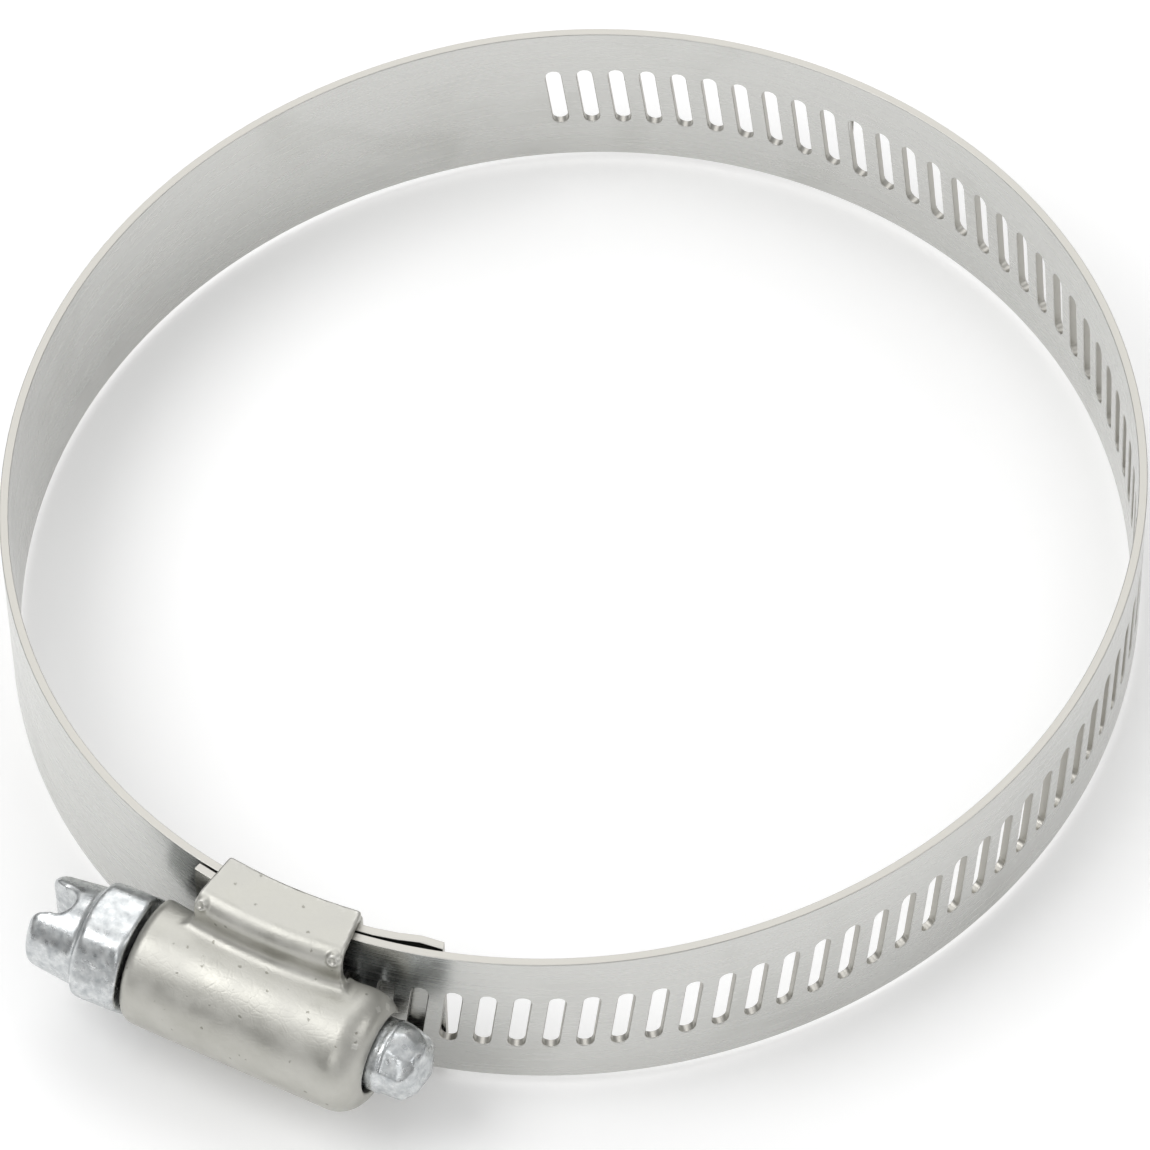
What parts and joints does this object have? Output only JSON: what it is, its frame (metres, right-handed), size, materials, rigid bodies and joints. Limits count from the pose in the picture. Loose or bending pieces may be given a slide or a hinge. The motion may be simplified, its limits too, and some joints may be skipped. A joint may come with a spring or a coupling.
{
  "type": "worm drive hose clamp",
  "caption": "Worm-drive hose clamp: a slotted steel band loops round and is drawn through a housing by a hex-headed screw",
  "frame": {"origin": "under the middle of the clamp's bounding box, on the surface it stands on", "axes": "+Z along the loop's axis, +Y from the housing across the loop, +X from the screw's head towards its tip"},
  "size_m": [0.076, 0.088, 0.0144],
  "materials": {
    "band_strip": "bright rolled stainless strip",
    "formed_sheet": "pressed stainless sheet, tumbled",
    "zinc_plate": "bright zinc plate on cold-headed steel"
  },
  "bodies": {
    "housing": {"housing": "formed_sheet", "saddle": "formed_sheet", "band_fixed_end": "band_strip"},
    "screw": {"screw": "zinc_plate"},
    "free_end": {"band_free_end": "band_strip"},
    "fixed_link_01": {"fixed_link_01": "band_strip"},
    "fixed_link_02": {"fixed_link_02": "band_strip"},
    "fixed_link_03": {"fixed_link_03": "band_strip"},
    "fixed_link_04": {"fixed_link_04": "band_strip"},
    "fixed_link_05": {"fixed_link_05": "band_strip"},
    "fixed_link_06": {"fixed_link_06": "band_strip"},
    "fixed_link_07": {"fixed_link_07": "band_strip"},
    "fixed_link_08": {"fixed_link_08": "band_strip"},
    "fixed_link_09": {"fixed_link_09": "band_strip"},
    "fixed_link_10": {"fixed_link_10": "band_strip"},
    "free_link_01": {"free_link_01": "band_strip"},
    "free_link_02": {"free_link_02": "band_strip"},
    "free_link_03": {"free_link_03": "band_strip"},
    "free_link_04": {"free_link_04": "band_strip"},
    "free_link_05": {"free_link_05": "band_strip"},
    "free_link_06": {"free_link_06": "band_strip"},
    "free_link_07": {"free_link_07": "band_strip"},
    "free_link_08": {"free_link_08": "band_strip"}
  },
  "joints": [
    {"name": "screw_turn", "type": "hinge", "parent": "housing", "child": "screw", "pos_m": [-0.00028, -0.03919, 0.0072], "axis": [0.9985, 0.0541, 0], "range_deg": [0, 2880]},
    {"name": "tail_feed", "type": "hinge", "parent": "housing", "child": "free_end", "pos_m": [-0.00028, 0.00106, 0.0072], "axis": [0, 0, -1], "range_deg": [0, 27.58]},
    {"name": "fixed_bend_10", "type": "hinge", "parent": "housing", "child": "fixed_link_10", "pos_m": [-0.00593, -0.0346, 0.0072], "axis": [0, 0, -1], "range_deg": [0, 1.36]},
    {"name": "fixed_bend_09", "type": "hinge", "parent": "fixed_link_10", "child": "fixed_link_09", "pos_m": [-0.0169, -0.03099, 0.0072], "axis": [0, 0, -1], "range_deg": [0, 1.39]},
    {"name": "fixed_bend_08", "type": "hinge", "parent": "fixed_link_09", "child": "fixed_link_08", "pos_m": [-0.02618, -0.0241, 0.0072], "axis": [0, 0, -1], "range_deg": [0, 1.47]},
    {"name": "fixed_bend_07", "type": "hinge", "parent": "fixed_link_08", "child": "fixed_link_07", "pos_m": [-0.03299, -0.01476, 0.0072], "axis": [0, 0, -1], "range_deg": [0, 1.56]},
    {"name": "fixed_bend_06", "type": "hinge", "parent": "fixed_link_07", "child": "fixed_link_06", "pos_m": [-0.0369, -0.00387, 0.0072], "axis": [0, 0, -1], "range_deg": [0, 1.64]},
    {"name": "fixed_bend_05", "type": "hinge", "parent": "fixed_link_06", "child": "fixed_link_05", "pos_m": [-0.03759, 0.00767, 0.0072], "axis": [0, 0, -1], "range_deg": [0, 1.67]},
    {"name": "fixed_bend_04", "type": "hinge", "parent": "fixed_link_05", "child": "fixed_link_04", "pos_m": [-0.03501, 0.01894, 0.0072], "axis": [0, 0, -1], "range_deg": [0, 1.66]},
    {"name": "fixed_bend_03", "type": "hinge", "parent": "fixed_link_04", "child": "fixed_link_03", "pos_m": [-0.02936, 0.02903, 0.0072], "axis": [0, 0, -1], "range_deg": [0, 1.6]},
    {"name": "fixed_bend_02", "type": "hinge", "parent": "fixed_link_03", "child": "fixed_link_02", "pos_m": [-0.02107, 0.03707, 0.0072], "axis": [0, 0, -1], "range_deg": [0, 1.46]},
    {"name": "fixed_bend_01", "type": "hinge", "parent": "fixed_link_02", "child": "fixed_link_01", "pos_m": [-0.01118, 0.04197, 0.0072], "axis": [0, 0, -1], "range_deg": [0, 1.31]},
    {"name": "free_bend_08", "type": "hinge", "parent": "free_end", "child": "free_link_08", "pos_m": [0.02881, -0.02157, 0.0072], "axis": [0, 0, 1], "range_deg": [0, 3.07]},
    {"name": "free_bend_07", "type": "hinge", "parent": "free_link_08", "child": "free_link_07", "pos_m": [0.03447, -0.01209, 0.0072], "axis": [0, 0, 1], "range_deg": [0, 1.85]},
    {"name": "free_bend_06", "type": "hinge", "parent": "free_link_07", "child": "free_link_06", "pos_m": [0.03738, -0.00144, 0.0072], "axis": [0, 0, 1], "range_deg": [0, 1.6]},
    {"name": "free_bend_05", "type": "hinge", "parent": "free_link_06", "child": "free_link_05", "pos_m": [0.03735, 0.0096, 0.0072], "axis": [0, 0, 1], "range_deg": [0, 1.39]},
    {"name": "free_bend_04", "type": "hinge", "parent": "free_link_05", "child": "free_link_04", "pos_m": [0.03436, 0.02023, 0.0072], "axis": [0, 0, 1], "range_deg": [0, 1.24]},
    {"name": "free_bend_03", "type": "hinge", "parent": "free_link_04", "child": "free_link_03", "pos_m": [0.02864, 0.02968, 0.0072], "axis": [0, 0, 1], "range_deg": [0, 1.16]},
    {"name": "free_bend_02", "type": "hinge", "parent": "free_link_03", "child": "free_link_02", "pos_m": [0.02056, 0.0372, 0.0072], "axis": [0, 0, 1], "range_deg": [0, 1.14]},
    {"name": "free_bend_01", "type": "hinge", "parent": "free_link_02", "child": "free_link_01", "pos_m": [0.01063, 0.04201, 0.0072], "axis": [0, 0, 1], "range_deg": [0, 1.17]}
  ],
  "couplings": [
    {"joint": "tail_feed", "follows": "screw_turn", "ratio": 0.0095727},
    {"joint": "fixed_bend_10", "follows": "screw_turn", "ratio": 0.00047037},
    {"joint": "fixed_bend_09", "follows": "screw_turn", "ratio": 0.00047905},
    {"joint": "fixed_bend_08", "follows": "screw_turn", "ratio": 0.00050735},
    {"joint": "fixed_bend_07", "follows": "screw_turn", "ratio": 0.00053889},
    {"joint": "fixed_bend_06", "follows": "screw_turn", "ratio": 0.00056465},
    {"joint": "fixed_bend_05", "follows": "screw_turn", "ratio": 0.00057746},
    {"joint": "fixed_bend_04", "follows": "screw_turn", "ratio": 0.00057292},
    {"joint": "fixed_bend_03", "follows": "screw_turn", "ratio": 0.00055045},
    {"joint": "fixed_bend_02", "follows": "screw_turn", "ratio": 0.00050232},
    {"joint": "fixed_bend_01", "follows": "screw_turn", "ratio": 0.00045269},
    {"joint": "free_bend_08", "follows": "screw_turn", "ratio": 0.001063},
    {"joint": "free_bend_07", "follows": "screw_turn", "ratio": 0.00063915},
    {"joint": "free_bend_06", "follows": "screw_turn", "ratio": 0.00055062},
    {"joint": "free_bend_05", "follows": "screw_turn", "ratio": 0.00047928},
    {"joint": "free_bend_04", "follows": "screw_turn", "ratio": 0.00042863},
    {"joint": "free_bend_03", "follows": "screw_turn", "ratio": 0.00039979},
    {"joint": "free_bend_02", "follows": "screw_turn", "ratio": 0.00039214},
    {"joint": "free_bend_01", "follows": "screw_turn", "ratio": 0.00040396}
  ]
}
